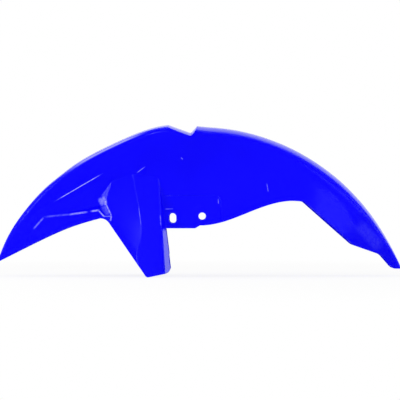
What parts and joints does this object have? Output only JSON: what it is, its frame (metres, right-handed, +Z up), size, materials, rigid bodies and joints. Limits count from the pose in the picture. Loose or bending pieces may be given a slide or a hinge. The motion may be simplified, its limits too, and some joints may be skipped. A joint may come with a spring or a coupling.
{
  "type": "motorcycle front mudguard",
  "caption": "Moulded front mudguard for a small motorcycle: an arched channel over the wheel with a pointed beak, flared fork covers and bolt pads at the fork.",
  "frame": {"origin": "on the axis of the round bolt holes, on the centre plane of the motorcycle", "axes": "+X back along the motorcycle, +Y across it along the bolt axis, +Z up as the mudguard stands over a level motorcycle's wheel"},
  "size_m": [0.6468, 0.216, 0.2414],
  "materials": {
    "mudguard": "glossy, coloured through"
  },
  "bodies": {
    "root": {"mudguard": "mudguard"}
  },
  "joints": []
}
